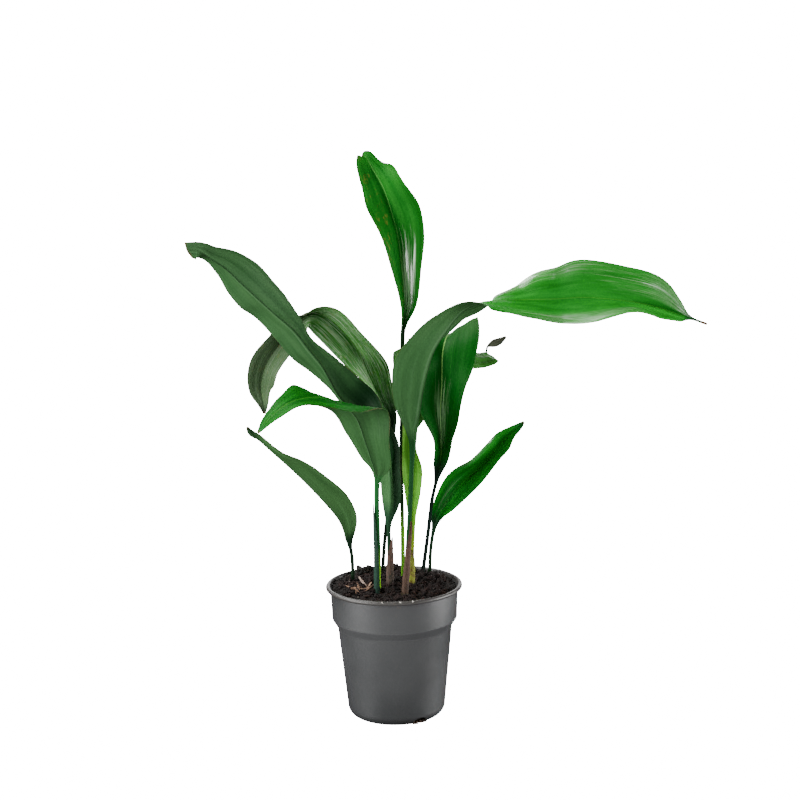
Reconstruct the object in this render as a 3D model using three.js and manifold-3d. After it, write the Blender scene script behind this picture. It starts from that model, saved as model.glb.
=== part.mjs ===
// A cast iron plant in a round nursery pot: ten leaves on their stalks and four
// papery sheaths stand in the potting soil. Millimetres, +Z up. The origin is
// the middle of the flat underside of the pot.

import * as THREE from "three";
import { mergeVertices } from "three/addons/utils/BufferGeometryUtils.js";
import Module from "manifold-3d";

const wasm = await Module();
wasm.setup();

// Driving dimensions of the pot
const potHeight = 137;
const rimRadius = 70;
const rimBeadRadius = 2.2;
const potWall = 1.4;
const potFloor = 1.8;
const underCollar = { radius: 65.4, height: 132.6 };
const collarFoot = { radius: 64.2, height: 102 };
const shoulder = { radius: 58.8, height: 93.5 };
const potFoot = { radius: 50.3, height: 10 };
const flatRadius = 41;
const potSides = 48;

// Driving dimensions of the drainage slots round the foot
const drainCount = 3;
const drainFirstAngle = -61;
const drainWidth = 14;
const drainHeight = 9;
const drainRadius = 47.5;
const drainMiddle = 4.2;
const drainDepth = 16;

// Driving dimensions of the soil
const soilMiddleHeight = 135.6;
const soilCrown = 2.6;
const soilSlope = 0.045;
const soilLump = 0.8;
const soilRings = 11;
const soilSides = 45;

// Driving dimensions that all leaves share
const gap = 0.35;
const bladeThickness = 0.8;
const midribDepth = 1;
const stalkDepth = 2.2;
const stalkMiddle = 1.1;
const stalkHoleRadius = 3;
const edgeBow = 0.1;
const ribHeight = 0.6;
const fullHalfWidth = 20;
const ringsPerStation = 2;
const acrossPlaces = [-1, -0.75, -0.5, -0.25, 0, 0.25, 0.5, 0.75, 1];

const towardFront = [0, -1, 0];

// Each leaf is laid out by stations along its midrib, from the foot of the
// stalk to the tip: x, y and z of the midrib, the half width of the blade, and
// in degrees the turn of the blade about its midrib and the rise of each half
// above the midrib. At a turn of 0 the upper face looks along faces.
// The first stations, up to stalkEnd, are the round stalk.
const leaves = {
  leaf_top: {
    faces: towardFront,
    stalkEnd: 4,
    stations: [
      [9, 17, 122, 1.8, 0, 20],
      [10, 17, 172, 1.7, 0, 20],
      [10, 18, 251, 1.7, 0, 20],
      [12, 22, 323, 1.7, 0, 20],
      [14, 28, 379, 2, -10, 25],
      [15, 31, 399, 4, -30, 45],
      [17, 33, 423, 15, -25, 50],
      [15, 38, 456, 23, -20, 45],
      [12, 44, 486, 30, -20, 40],
      [6, 53, 511, 32, -15, 35],
      [-2, 62, 536, 24, 0, 30],
      [-14, 78, 558, 18, -35, 15],
      [-20, 97, 568, 9, -50, 15],
      [-24, 108, 565, 1.5, -40, 10],
    ],
  },
  leaf_arching: {
    faces: towardFront,
    stalkEnd: 3,
    stations: [
      [10, -28, 122, 2.1, 180, 20],
      [14, -31, 173, 2, 180, 20],
      [18, -36, 227, 2, 180, 20],
      [21, -40, 278, 2.5, 165, 30],
      [24, -43, 298, 8, 140, 40],
      [28, -44, 318, 23, 130, 45],
      [32, -44, 342, 33, 125, 45],
      [38, -43, 366, 38, 120, 45],
      [45, -41, 384, 34, 115, 35],
      [57, -36, 401, 32, 115, 20],
      [73, -31, 419, 30, 110, 5],
      [92, -26, 427, 28, 100, -10],
      [112, -24, 428, 28, 80, -5],
      [137, -15, 427, 28, 60, 0],
      [165, -5, 426, 32, 25, 25],
      [198, 2, 426, 41, 40, 25],
      [238, 9, 421, 38, 50, 35],
      [268, 15, 414, 32, 40, 40],
      [291, 17, 406, 15, 35, 35],
      [304, 16, 402, 2.5, 15, 15],
      [322, 17, 395, 1.2, 10, 10],
    ],
  },
  leaf_long_left: {
    faces: towardFront,
    stalkEnd: 2,
    stations: [
      [-4, 4, 122, 2.1, 180, 20],
      [-4, 3, 173, 2, 180, 20],
      [-4, 2, 198, 2.6, 175, 30],
      [-1, 0, 222, 13, 180, 45],
      [-1, -4, 251, 19, 175, 55],
      [-5, -9, 277, 26, 170, 50],
      [-20, -14, 299, 29, 180, 50],
      [-34, -19, 319, 31, 200, 50],
      [-50, -22, 336, 30, 205, 55],
      [-65, -26, 365, 28, 175, 60],
      [-79, -31, 385, 28, 160, 60],
      [-92, -37, 404, 28, 165, 55],
      [-110, -43, 422, 28, 180, 50],
      [-124, -51, 437, 29, 180, 45],
      [-139, -57, 453, 27, 190, 40],
      [-153, -62, 468, 21, 205, 35],
      [-167, -69, 479, 14, 215, 30],
      [-176, -77, 486, 9, 180, 10],
      [-186, -90, 487, 9, 140, -10],
    ],
  },
  leaf_back_drooping: {
    faces: towardFront,
    stalkEnd: 3,
    stations: [
      [-13, 52, 124, 1.8, 0, 20],
      [-9, 50, 170, 1.7, 0, 20],
      [-2, 44, 225, 1.7, 0, 20],
      [1, 38, 279, 2.8, 0, 25],
      [0, 36, 302, 7, -15, 35],
      [-11, 33, 324, 17, -45, 50],
      [-22, 32, 348, 25, -35, 45],
      [-34, 33, 378, 26, 10, 45],
      [-57, 38, 404, 28, 10, 50],
      [-76, 44, 413, 28, 15, 75],
      [-94, 47, 405, 26, 10, 65],
      [-112, 45, 382, 22, 5, 50],
      [-127, 44, 359, 20, -5, 40],
      [-133, 44, 337, 15, 0, 30],
      [-131, 40, 321, 7, -5, 25],
      [-130, 40, 309, 1.2, 0, 20],
    ],
  },
  leaf_right_middle: {
    faces: [0, -0.5, 0.87],
    stalkEnd: 3,
    stations: [
      [28, 36, 124, 1.9, 0, 20],
      [36, 38, 177, 1.8, 0, 20],
      [41, 40, 213, 1.8, 0, 20],
      [46, 43, 234, 2, -5, 30],
      [51, 46, 254, 10, -10, 45],
      [52, 49, 277, 17, -10, 55],
      [52, 49, 305, 28, 0, 45],
      [54, 54, 336, 35, 0, 40],
      [55, 58, 362, 38, -10, 30],
      [59, 69, 378, 39, 15, 10],
      [65, 87, 383, 35, 35, 10],
      [69, 103, 380, 22, 20, 10],
      [72, 115, 378, 1.5, 20, 10],
    ],
  },
  leaf_back_right: {
    faces: towardFront,
    stalkEnd: 2,
    stations: [
      [9, 34, 124, 1.9, 0, 20],
      [10, 40, 193, 1.8, 0, 20],
      [10, 49, 245, 1.8, 0, 20],
      [12, 54, 266, 3, -10, 40],
      [16, 62, 290, 16, -15, 50],
      [25, 68, 317, 29, -15, 45],
      [38, 71, 340, 43, 10, 20],
      [52, 76, 357, 38, 55, 5],
      [79, 84, 364, 33, 75, -5],
      [96, 92, 357, 19, 80, -5],
      [102, 99, 356, 15, 70, 0],
      [104, 114, 358, 1.2, -10, 5],
      [105, 106, 365, 1.2, 0, 10],
      [111, 107, 368, 4, 0, 0],
      [117, 108, 370, 4, 0, 0],
      [125, 108, 375, 1.2, 0, 10],
    ],
  },
  leaf_young: {
    faces: towardFront,
    stalkEnd: 2,
    stations: [
      [17, -1, 124, 2, 0, 20],
      [19, -1, 161, 1.9, 0, 20],
      [20, -1, 187, 2.2, 0, 25],
      [20, 0, 208, 5, 0, 40],
      [21, 2, 232, 11, 0, 45],
      [21, 4, 255, 14, 0, 45],
      [20, 7, 276, 12, 10, 55],
      [20, 9, 296, 11, 5, 50],
      [18, 11, 317, 7, 5, 45],
      [17, 13, 335, 1.2, 0, 30],
    ],
  },
  leaf_low_right: {
    faces: towardFront,
    stalkEnd: 2,
    stations: [
      [37, 45, 124, 1.7, 0, 20],
      [39, 46, 158, 1.6, 0, 20],
      [43, 48, 182, 2.4, 0, 20],
      [47, 50, 195, 8, 10, 40],
      [56, 51, 209, 16, 10, 45],
      [71, 51, 227, 20, 15, 40],
      [90, 54, 243, 21, 10, 55],
      [105, 56, 259, 18, 10, 55],
      [118, 61, 271, 14, 15, 45],
      [129, 62, 281, 7, 25, 40],
      [140, 66, 290, 1.2, 0, 20],
    ],
  },
  leaf_low_left: {
    faces: towardFront,
    stalkEnd: 2,
    stations: [
      [-43, 26, 122, 1.8, 180, 20],
      [-43, 25, 155, 1.7, 180, 20],
      [-45, 23, 173, 2.6, 195, 30],
      [-49, 20, 186, 12, 225, 45],
      [-55, 17, 201, 21, 235, 50],
      [-67, 14, 218, 26, 240, 50],
      [-84, 9, 239, 24, 250, 50],
      [-102, 4, 259, 20, 250, 40],
      [-117, 0, 274, 12, 255, 30],
      [-130, -3, 287, 7, 240, 30],
      [-140, -6, 297, 3.8, 190, 30],
      [-144, -6, 304, 1.2, 150, 30],
    ],
  },
  leaf_folded: {
    faces: [0.75, -0.66, 0],
    stalkEnd: 2,
    stations: [
      [-16, -20, 122, 2.7, -90, 20],
      [-15, -23, 178, 2.6, -90, 20],
      [-15, -27, 231, 2.6, -90, 20],
      [-15, -27, 252, 5, -90, 30],
      [-17, -33, 267, 19, -90, 20],
      [-24, -42, 293, 28, -90, 15],
      [-31, -48, 316, 34, -100, 20],
      [-42, -64, 333, 37, -95, 5],
      [-57, -85, 344, 35, -80, 0],
      [-76, -102, 348, 29, -75, 10],
      [-94, -113, 345, 19, -90, 10],
      [-111, -119, 333, 10, -95, 5],
      [-123, -122, 319, 1.5, -90, 10],
    ],
  },
};

// A sheath wraps the foot of one leaf's stalk. reach is its length in stations
// of that leaf, back is the side it covers, in degrees about the stalk from
// the stalk's right hand side, and wrap is half of the angle it covers.
const sheathThickness = 0.6;
const sheathRings = 9;
const sheathAcross = 8;
const sheaths = {
  sheath_arching: { leaf: "leaf_arching", reach: 1.7, back: 225, wrap: 125, footRadius: 3.5, topRadius: 3.4 },
  sheath_long_left: { leaf: "leaf_long_left", reach: 1.4, back: 200, wrap: 145, footRadius: 4.2, topRadius: 4 },
  sheath_young: { leaf: "leaf_young", reach: 1.4, back: 100, wrap: 115, footRadius: 3.5, topRadius: 3.4 },
  sheath_folded: { leaf: "leaf_folded", reach: 1.9, back: 295, wrap: 100, footRadius: 4, topRadius: 3.7 },
};

const radians = THREE.MathUtils.degToRad;
const clamp = THREE.MathUtils.clamp;

// The smooth curve through all columns of the stations, for place 0 to 1.
function between(rows, place) {
  const last = rows.length - 1;
  const span = Math.min(Math.floor(place * last), last - 1);
  const t = place * last - span;
  const beyond = (end, inner) => end.map((value, i) => 2 * value - inner[i]);
  const before = span > 0 ? rows[span - 1] : beyond(rows[0], rows[1]);
  const after = span + 2 <= last ? rows[span + 2] : beyond(rows[last], rows[last - 1]);
  return rows[span].map((start, i) => {
    const step = rows[span + 1][i] - start;
    const leaving = (rows[span + 1][i] - before[i]) / 2;
    const arriving = (after[i] - start) / 2;
    const bend = 3 * step - 2 * leaving - arriving;
    const swing = leaving + arriving - 2 * step;
    return start + leaving * t + bend * t * t + swing * t * t * t;
  });
}

// The midrib point at a place, with the directions along, across and up.
function crossSection(leaf, place) {
  const nearby = 0.0005;
  const [x, y, z, halfWidth, turn, fold] = between(leaf.stations, place);
  const ahead = new THREE.Vector3(...between(leaf.stations, Math.min(place + nearby, 1)));
  const behind = new THREE.Vector3(...between(leaf.stations, Math.max(place - nearby, 0)));
  const along = ahead.sub(behind).normalize();
  const faces = new THREE.Vector3(...leaf.faces);
  faces.addScaledVector(along, -faces.dot(along)).normalize();
  const sideways = along.clone().cross(faces);
  const twist = -radians(turn);
  const across = sideways.clone().applyAxisAngle(along, twist);
  const up = faces.clone().applyAxisAngle(along, twist);
  const station = place * (leaf.stations.length - 1);
  return {
    middle: new THREE.Vector3(x, y, z),
    along,
    across,
    up,
    halfWidth: Math.max(halfWidth, 1),
    fold: radians(fold),
    full: clamp(halfWidth / fullHalfWidth, 0, 1),
    stalk: clamp(1 - (station - leaf.stalkEnd) / 2, 0, 1),
  };
}

function offset(section, sideways, upwards) {
  return section.middle.clone()
    .addScaledVector(section.across, sideways)
    .addScaledVector(section.up, upwards);
}

// Upper and lower point of the leaf, v running from -1 at one edge to 1.
function leafPoints(section, v) {
  const { halfWidth, fold, full, stalk } = section;
  const bow = edgeBow * full;
  const rib = ribHeight * full * (1 - Math.cos(4 * Math.PI * v)) / 2;
  const sideways = halfWidth * v * Math.cos(fold);
  const upwards = halfWidth * (Math.abs(v) * Math.sin(fold) - bow * v * v) + rib;
  const slope = Math.sign(v) * Math.sin(fold) - 2 * bow * v;
  const lean = Math.hypot(slope, Math.cos(fold));
  const round = stalkDepth * stalk * Math.sqrt(1 - v * v);
  const midrib = v === 0 ? midribDepth * full * (1 - stalk) : 0;
  const thickness = bladeThickness + round + midrib;
  const under = v === 0 ? thickness + bladeThickness * (1 / Math.cos(fold) - 1) : thickness;
  return {
    upper: offset(section, sideways, upwards),
    lower: offset(
      section,
      sideways + under * slope / lean,
      upwards - under * Math.cos(fold) / lean,
    ),
  };
}

// Closes two facing grids of points into one thin solid. Both faces are split
// along the same diagonals.
function thinSolid(upper, lower) {
  const rows = upper.length;
  const columns = upper[0].length;
  const count = rows * columns;
  const at = (row, column) => row * columns + column;
  const triangles = [];
  for (let row = 0; row < rows - 1; row += 1) {
    for (let column = 0; column < columns - 1; column += 1) {
      const a = at(row, column);
      const b = at(row, column + 1);
      const c = at(row + 1, column + 1);
      const d = at(row + 1, column);
      triangles.push(a, b, c, a, c, d);
      triangles.push(count + a, count + c, count + b, count + a, count + d, count + c);
    }
  }
  const border = [];
  for (let column = 0; column < columns; column += 1) border.push(at(0, column));
  for (let row = 1; row < rows; row += 1) border.push(at(row, columns - 1));
  for (let column = columns - 2; column >= 0; column -= 1) border.push(at(rows - 1, column));
  for (let row = rows - 2; row > 0; row -= 1) border.push(at(row, 0));
  border.forEach((here, i) => {
    const next = border[(i + 1) % border.length];
    triangles.push(here, count + here, count + next, here, count + next, next);
  });
  const places = [...upper.flat(), ...lower.flat()].flatMap((point) => point.toArray());
  const geometry = new THREE.BufferGeometry();
  geometry.setAttribute("position", new THREE.Float32BufferAttribute(places, 3));
  geometry.setIndex(triangles);
  geometry.computeVertexNormals();
  return geometry;
}

function leafGeometry(leaf) {
  const rings = ringsPerStation * (leaf.stations.length - 1);
  const upper = [];
  const lower = [];
  for (let ring = 0; ring <= rings; ring += 1) {
    const section = crossSection(leaf, ring / rings);
    const points = acrossPlaces.map((v) => leafPoints(section, v));
    upper.push(points.map((point) => point.upper));
    lower.push(points.map((point) => point.lower));
  }
  return thinSolid(upper, lower);
}

// A sheath narrows to a tip at its top and stays clear of the stalk.
function sheathGeometry(sheath) {
  const leaf = leaves[sheath.leaf];
  const outer = [];
  const inner = [];
  for (let ring = 0; ring < sheathRings; ring += 1) {
    const rise = ring / (sheathRings - 1);
    const section = crossSection(leaf, rise * sheath.reach / (leaf.stations.length - 1));
    const radius = THREE.MathUtils.lerp(sheath.footRadius, sheath.topRadius, rise);
    const wrap = sheath.wrap * (1 - 0.9 * rise * rise);
    const outerRow = [];
    const innerRow = [];
    for (let step = 0; step <= sheathAcross; step += 1) {
      const angle = radians(sheath.back + wrap * (2 * step / sheathAcross - 1));
      const ray = (reach) => offset(
        section,
        reach * Math.cos(angle),
        reach * Math.sin(angle) - stalkMiddle,
      );
      outerRow.push(ray(radius));
      innerRow.push(ray(radius - sheathThickness));
    }
    outer.push(outerRow.reverse());
    inner.push(innerRow.reverse());
  }
  return thinSolid(outer, inner);
}

function solidFrom(geometry) {
  const bare = geometry.clone();
  bare.deleteAttribute("normal");
  bare.deleteAttribute("uv");
  const merged = mergeVertices(bare, 1e-4);
  return new wasm.Manifold(new wasm.Mesh({
    numProp: 3,
    vertProperties: new Float32Array(merged.attributes.position.array),
    triVerts: new Uint32Array(merged.index.array),
  }));
}

function geometryFrom(solid) {
  const mesh = solid.getMesh();
  const geometry = new THREE.BufferGeometry();
  geometry.setAttribute("position", new THREE.Float32BufferAttribute(mesh.vertProperties, 3));
  geometry.setIndex(Array.from(mesh.triVerts));
  geometry.computeVertexNormals();
  return geometry;
}

// Radius of the inner face of the pot wall at a height above the floor.
function innerRadius(height) {
  const steps = [potFoot, shoulder, collarFoot, underCollar];
  const next = Math.max(1, steps.findIndex((step) => step.height >= height));
  const low = steps[next - 1];
  const high = steps[next];
  const share = (height - low.height) / (high.height - low.height);
  return THREE.MathUtils.lerp(low.radius, high.radius, share) - potWall;
}

// A quarter turn at the foot of the wall, from the flat bottom to the wall.
function cornerPoints(inset) {
  const width = potFoot.radius - flatRadius;
  const points = [];
  for (let step = 0; step <= 4; step += 1) {
    const angle = radians(22.5 * step);
    points.push(new THREE.Vector2(
      flatRadius + (width - inset) * Math.sin(angle),
      inset + (potFoot.height - inset) * (1 - Math.cos(angle)),
    ));
  }
  return points;
}

function drainSlot(angle) {
  const slot = new THREE.CylinderGeometry(drainHeight / 2, drainHeight / 2, drainDepth, 12);
  slot.scale(drainWidth / drainHeight, 1, 1);
  slot.rotateX(radians(45));
  slot.translate(0, -drainRadius, drainMiddle);
  slot.rotateZ(radians(angle + 90));
  return slot;
}

function potGeometry() {
  const beadMiddle = new THREE.Vector2(rimRadius - rimBeadRadius, potHeight - rimBeadRadius);
  const bead = [];
  for (let angle = 225; angle <= 540; angle += 35) {
    bead.push(new THREE.Vector2(
      beadMiddle.x + rimBeadRadius * Math.cos(radians(angle)),
      beadMiddle.y + rimBeadRadius * Math.sin(radians(angle)),
    ));
  }
  const point = ({ radius, height }) => new THREE.Vector2(radius, height);
  const inside = ({ radius, height }) => new THREE.Vector2(radius - potWall, height);
  const profile = [
    new THREE.Vector2(0, 0),
    ...cornerPoints(0),
    point(shoulder),
    point(collarFoot),
    point(underCollar),
    ...bead,
    inside(underCollar),
    inside(collarFoot),
    inside(shoulder),
    ...cornerPoints(potFloor).reverse(),
    new THREE.Vector2(0, potFloor),
  ];
  const lathe = new THREE.LatheGeometry(profile, potSides);
  lathe.rotateX(radians(90));
  let pot = solidFrom(lathe);
  for (let i = 0; i < drainCount; i += 1) {
    pot = pot.subtract(solidFrom(drainSlot(drainFirstAngle + i * 360 / drainCount)));
  }
  return geometryFrom(pot);
}

// Height of the lumpy soil, which is mounded and lies lower at the front.
function soilHeight(x, y) {
  const reach = Math.hypot(x, y) / shoulder.radius;
  const coarse = Math.sin(x / 5.1 + 1.3) * Math.cos(y / 4.3) + Math.sin((x + y) / 7.7 + 0.6);
  const fine = Math.sin(x / 2.3 + y / 3.1) * Math.cos(y / 2.6 - x / 3.7);
  return soilMiddleHeight - soilCrown * reach * reach + soilSlope * y + soilLump * (coarse + fine) / 2;
}

// A straight hole round the foot of a stalk, open at the top of the soil.
function stalkHole(leaf, radius) {
  const foot = crossSection(leaf, 0);
  const bottom = offset(foot, 0, -stalkMiddle).addScaledVector(foot.along, -gap);
  const length = 30;
  const hole = new THREE.CylinderGeometry(radius, radius, length, 16);
  hole.translate(0, length / 2, 0);
  hole.applyQuaternion(new THREE.Quaternion().setFromUnitVectors(new THREE.Vector3(0, 1, 0), foot.along));
  hole.translate(bottom.x, bottom.y, bottom.z);
  return hole;
}

// The soil fills the pot: its rows run from the middle of the lumpy top over
// the edge, down the wall and back to the middle of the floor.
function soilBlock() {
  const topRadius = innerRadius(potHeight - 7) - gap;
  const points = [new THREE.Vector3(0, 0, soilHeight(0, 0))];
  const addRow = (radius, heightAt) => {
    for (let side = 0; side < soilSides; side += 1) {
      const angle = 2 * Math.PI * side / soilSides;
      const x = radius * Math.cos(angle);
      const y = radius * Math.sin(angle);
      points.push(new THREE.Vector3(x, y, heightAt(x, y)));
    }
  };
  for (let ring = 1; ring <= soilRings; ring += 1) addRow(topRadius * ring / soilRings, soilHeight);
  addRow(collarFoot.radius - potWall - gap, () => collarFoot.height);
  addRow(shoulder.radius - potWall - gap, () => shoulder.height);
  cornerPoints(potFloor + gap).reverse().forEach((corner) => addRow(corner.x, () => corner.y));
  points.push(new THREE.Vector3(0, 0, potFloor + gap));
  const rows = (points.length - 2) / soilSides;
  const last = points.length - 1;
  const at = (row, side) => 1 + row * soilSides + side % soilSides;
  const triangles = [];
  for (let side = 0; side < soilSides; side += 1) {
    triangles.push(0, at(0, side), at(0, side + 1));
    triangles.push(last, at(rows - 1, side + 1), at(rows - 1, side));
    for (let row = 0; row < rows - 1; row += 1) {
      triangles.push(at(row, side), at(row + 1, side), at(row + 1, side + 1));
      triangles.push(at(row, side), at(row + 1, side + 1), at(row, side + 1));
    }
  }
  const geometry = new THREE.BufferGeometry();
  const places = points.flatMap((point) => point.toArray());
  geometry.setAttribute("position", new THREE.Float32BufferAttribute(places, 3));
  geometry.setIndex(triangles);
  return geometry;
}

function soilGeometry() {
  let soil = solidFrom(soilBlock());
  for (const [name, leaf] of Object.entries(leaves)) {
    const sheath = Object.values(sheaths).find((each) => each.leaf === name);
    const radius = sheath ? sheath.footRadius + gap : stalkHoleRadius;
    soil = soil.subtract(solidFrom(stalkHole(leaf, radius)));
  }
  return geometryFrom(soil);
}

const leafFinish = { roughness: 0.35, metalness: 0 };
const finishes = {
  leaf_top: { color: 0x2f7a24, ...leafFinish },
  leaf_arching: { color: 0x2c7d22, ...leafFinish },
  leaf_long_left: { color: 0x5f7f5c, ...leafFinish },
  leaf_back_drooping: { color: 0x3c7434, ...leafFinish },
  leaf_right_middle: { color: 0x256d1f, ...leafFinish },
  leaf_back_right: { color: 0x4f7549, ...leafFinish },
  leaf_young: { color: 0x6a9c2c, ...leafFinish },
  leaf_low_right: { color: 0x2a7226, ...leafFinish },
  leaf_low_left: { color: 0x5c7c59, ...leafFinish },
  leaf_folded: { color: 0x4f7a48, ...leafFinish },
  sheath_arching: { color: 0x5a4130, roughness: 0.8, metalness: 0 },
  sheath_long_left: { color: 0x483c32, roughness: 0.8, metalness: 0 },
  sheath_young: { color: 0x7d6a35, roughness: 0.7, metalness: 0 },
  sheath_folded: { color: 0x27453c, roughness: 0.6, metalness: 0 },
  pot: { color: 0x4e5051, roughness: 0.5, metalness: 0 },
  soil: { color: 0x2a1c14, roughness: 0.95, metalness: 0 },
};

const plant = new THREE.Group();

function addPiece(name, geometry) {
  const piece = new THREE.Mesh(geometry, new THREE.MeshStandardMaterial(finishes[name]));
  piece.name = name;
  plant.add(piece);
}

addPiece("pot", potGeometry());
addPiece("soil", soilGeometry());
for (const [name, leaf] of Object.entries(leaves)) addPiece(name, leafGeometry(leaf));
for (const [name, sheath] of Object.entries(sheaths)) addPiece(name, sheathGeometry(sheath));

export default plant;
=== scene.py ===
import bmesh
import bpy
import math
import random
from mathutils import Matrix, Vector, noise


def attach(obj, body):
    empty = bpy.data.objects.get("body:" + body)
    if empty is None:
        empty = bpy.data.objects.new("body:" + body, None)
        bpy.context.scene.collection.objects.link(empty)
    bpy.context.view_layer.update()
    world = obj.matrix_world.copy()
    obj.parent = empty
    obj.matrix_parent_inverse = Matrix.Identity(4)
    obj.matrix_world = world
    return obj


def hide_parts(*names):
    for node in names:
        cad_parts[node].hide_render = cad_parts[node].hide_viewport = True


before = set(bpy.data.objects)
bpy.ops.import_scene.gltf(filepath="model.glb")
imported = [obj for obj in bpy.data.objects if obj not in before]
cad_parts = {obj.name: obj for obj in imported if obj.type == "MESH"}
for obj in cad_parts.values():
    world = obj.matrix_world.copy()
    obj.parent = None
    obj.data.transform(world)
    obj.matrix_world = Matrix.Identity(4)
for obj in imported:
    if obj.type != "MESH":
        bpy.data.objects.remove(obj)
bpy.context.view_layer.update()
mm = 0.001

# camera at the place the photograph was taken from, seen in the pot's own frame, in mm and degrees
cameraPlace = {"aside": 10.2, "distance": 1600, "height": 592.4, "down": 9.42, "roll": -1.24}
cameraLens = {"length": 72.52, "sensor": 36, "farthest": 60}


def makeCamera():
    camera = bpy.data.objects.new("camera", bpy.data.cameras.new("camera"))
    bpy.context.scene.collection.objects.link(camera)
    down = math.radians(cameraPlace["down"])
    roll = math.radians(cameraPlace["roll"])
    ahead = Vector((0, math.cos(down), -math.sin(down)))
    right = Vector((1, 0, 0))
    up = right.cross(ahead)
    turnedRight = right * math.cos(roll) + up * math.sin(roll)
    turnedUp = up * math.cos(roll) - right * math.sin(roll)
    turn = Matrix((turnedRight, turnedUp, -ahead)).transposed().to_4x4()
    place = Vector((cameraPlace["aside"], -cameraPlace["distance"], cameraPlace["height"]))
    camera.matrix_world = Matrix.Translation(place * mm) @ turn
    camera.data.lens = cameraLens["length"]
    camera.data.sensor_width = cameraLens["sensor"]
    camera.data.clip_end = cameraLens["farthest"]
    bpy.context.scene.camera = camera


makeCamera()
print("camera set")


# helpers that every piece uses
def addObject(name, mesh):
    piece = bpy.data.objects.new(name, mesh)
    bpy.context.scene.collection.objects.link(piece)
    return piece


def meshFrom(shell, name):
    mesh = bpy.data.meshes.new(name)
    shell.to_mesh(mesh)
    shell.free()
    return mesh


# a level ring of points in mm, or one whose height follows a function of x and y
def addRing(shell, radius, sides, height, middle=(0, 0)):
    ring = []
    for side in range(sides):
        angle = 2 * math.pi * side / sides
        x = middle[0] + radius * math.cos(angle)
        y = middle[1] + radius * math.sin(angle)
        z = height(x, y) if callable(height) else height
        ring.append(shell.verts.new(Vector((x, y, z)) * mm))
    return ring


def bridge(shell, low, high):
    for side in range(len(low)):
        following = (side + 1) % len(low)
        shell.faces.new((low[side], high[side], high[following], low[following]))


def isSocket(value):
    return hasattr(value, "is_output")


# gives a node's inputs plain values or another node's output
def fill(node, inputs):
    for key, value in inputs.items():
        if isSocket(value):
            node.id_data.links.new(value, node.inputs[key])
        else:
            node.inputs[key].default_value = value


def addNode(tree, kind, inputs, **settings):
    node = tree.nodes.new(kind)
    for key, value in settings.items():
        setattr(node, key, value)
    fill(node, inputs)
    return node


# the tree is that of the first value that comes from a node
def mathNode(operation, *values):
    tree = next(value.id_data for value in values if isSocket(value))
    return addNode(tree, "ShaderNodeMath", dict(enumerate(values)), operation=operation).outputs[0]


def times(first, second):
    return mathNode("MULTIPLY", first, second)


def plus(first, second):
    return mathNode("ADD", first, second)


def minus(first, second):
    return mathNode("SUBTRACT", first, second)


def joinXYZ(tree, x, y, z):
    return addNode(tree, "ShaderNodeCombineXYZ", {"X": x, "Y": y, "Z": z}).outputs[0]


# low to high becomes newLow to newHigh, and values beyond them stay at the ends
def spread(value, low, high, newLow=0, newHigh=1):
    return addNode(value.id_data, "ShaderNodeMapRange", {
        "Value": value,
        "From Min": low,
        "From Max": high,
        "To Min": newLow,
        "To Max": newHigh,
    }).outputs[0]


# 1 between two values and 0 beyond them, with soft ends
def band(value, low, high, soft):
    return times(spread(value, low - soft, low), spread(value, high, high + soft, 1, 0))


# a geometry tree with a geometry, these named inputs and a material going in
def newGroup(name, inputs):
    tree = bpy.data.node_groups.new(name, "GeometryNodeTree")
    for label, kind in (("Geometry", "Geometry"), *inputs.items(), ("Material", "Material")):
        tree.interface.new_socket(label, in_out="INPUT", socket_type="NodeSocket" + kind)
    tree.interface.new_socket("Geometry", in_out="OUTPUT", socket_type="NodeSocketGeometry")
    return tree, tree.nodes.new("NodeGroupInput").outputs


def finishGroup(tree, given, geometry):
    real = addNode(tree, "GeometryNodeRealizeInstances", {"Geometry": geometry})
    painted = addNode(tree, "GeometryNodeSetMaterial", {
        "Geometry": real.outputs[0],
        "Material": given["Material"],
    })
    fill(tree.nodes.new("NodeGroupOutput"), {0: painted.outputs[0]})


# replaces a piece's mesh by what its modifier makes of it
def keepResult(piece):
    bpy.context.view_layer.update()
    evaluated = piece.evaluated_get(bpy.context.evaluated_depsgraph_get())
    mesh = bpy.data.meshes.new_from_object(evaluated)
    piece.modifiers.clear()
    old = piece.data
    piece.data = mesh
    bpy.data.meshes.remove(old)


# runs a tree on a piece and keeps only the plain mesh that comes out
def grow(piece, tree, values):
    modifier = piece.modifiers.new("grow", "NODES")
    modifier.node_group = tree
    for item in tree.interface.items_tree:
        if item.item_type == "SOCKET" and item.in_out == "INPUT" and item.name in values:
            modifier[item.identifier] = values[item.name]
    keepResult(piece)


def handOver(piece, slot, *nodes):
    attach(piece, "root")
    if nodes:
        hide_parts(*nodes)


# a screen colour, 0 to 255, as Blender's linear one
def colour(red, green, blue):
    def straight(value):
        share = value / 255
        return share / 12.92 if share < 0.04045 else ((share + 0.055) / 1.055) ** 2.4

    return (straight(red), straight(green), straight(blue), 1)


def newMaterial(name):
    material = bpy.data.materials.new(name)
    material.use_nodes = True
    tree = material.node_tree
    return material, tree, tree.nodes["Principled BSDF"]


def attribute(tree, name):
    return addNode(tree, "ShaderNodeAttribute", {}, attribute_name=name).outputs["Fac"]


# mixes screen colours, or what another mix gave
def mixColour(share, first, second):
    first, second = (value if isSocket(value) else colour(*value) for value in (first, second))
    inputs = {"Factor": share, 6: first, 7: second}
    return addNode(share.id_data, "ShaderNodeMix", inputs, data_type="RGBA").outputs[2]


def noiseAt(place, scale, detail=3, roughness=0.5):
    return addNode(place.id_data, "ShaderNodeTexNoise", {
        "Vector": place,
        "Scale": scale,
        "Detail": detail,
        "Roughness": roughness,
    }).outputs["Fac"]


def objectPlace(tree):
    return addNode(tree, "ShaderNodeTexCoord", {}).outputs["Object"]


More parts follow.
